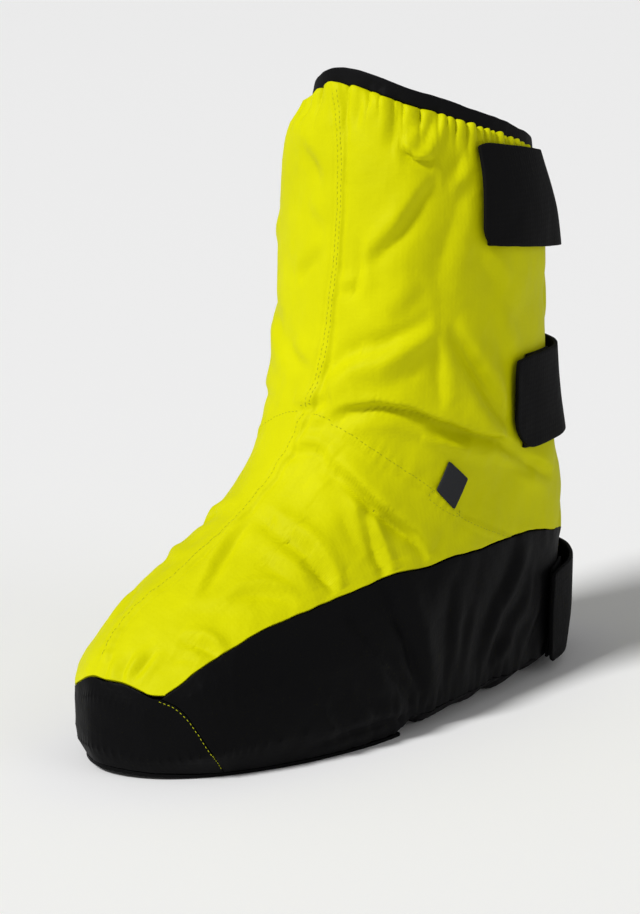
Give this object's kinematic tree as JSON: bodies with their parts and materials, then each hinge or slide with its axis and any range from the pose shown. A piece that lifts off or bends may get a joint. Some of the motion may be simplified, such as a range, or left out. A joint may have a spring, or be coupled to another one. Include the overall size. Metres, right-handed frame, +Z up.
{
  "type": "winter overshoe",
  "caption": "Tall insulated fabric overshoe for the left foot, worn over a work boot: elastic collar, open underside at the heel, back closure with tape straps.",
  "frame": {"origin": "on the floor, at the middle of the overshoe's box", "axes": "+Z up, toe towards -Y, back of the heel towards +Y, lateral side of the left foot towards +X"},
  "size_m": [0.1259, 0.3362, 0.331],
  "materials": {
    "high_visibility_shell": "coated polyester weave, slightly glossy, fluorescent yellow",
    "black_shell": "coated polyester weave, matte black",
    "woven_elastic": "ribbed woven elastic, matte black",
    "hook_and_loop_tape": "woven nylon tape with hook and loop pile, matte black",
    "woven_label": "woven label, charcoal grey"
  },
  "bodies": {
    "root": {"upper": "high_visibility_shell", "toe_cap": "black_shell", "side_panel_lateral": "black_shell", "side_panel_medial": "black_shell", "sole_forefoot": "black_shell", "hem_lateral": "black_shell", "hem_medial": "black_shell", "collar_binding": "woven_elastic", "strap_top": "hook_and_loop_tape", "strap_mid": "hook_and_loop_tape", "strap_heel": "hook_and_loop_tape", "loop_patch_top": "hook_and_loop_tape", "loop_patch_mid": "hook_and_loop_tape", "loop_patch_heel": "hook_and_loop_tape", "side_label": "woven_label"}
  },
  "joints": []
}
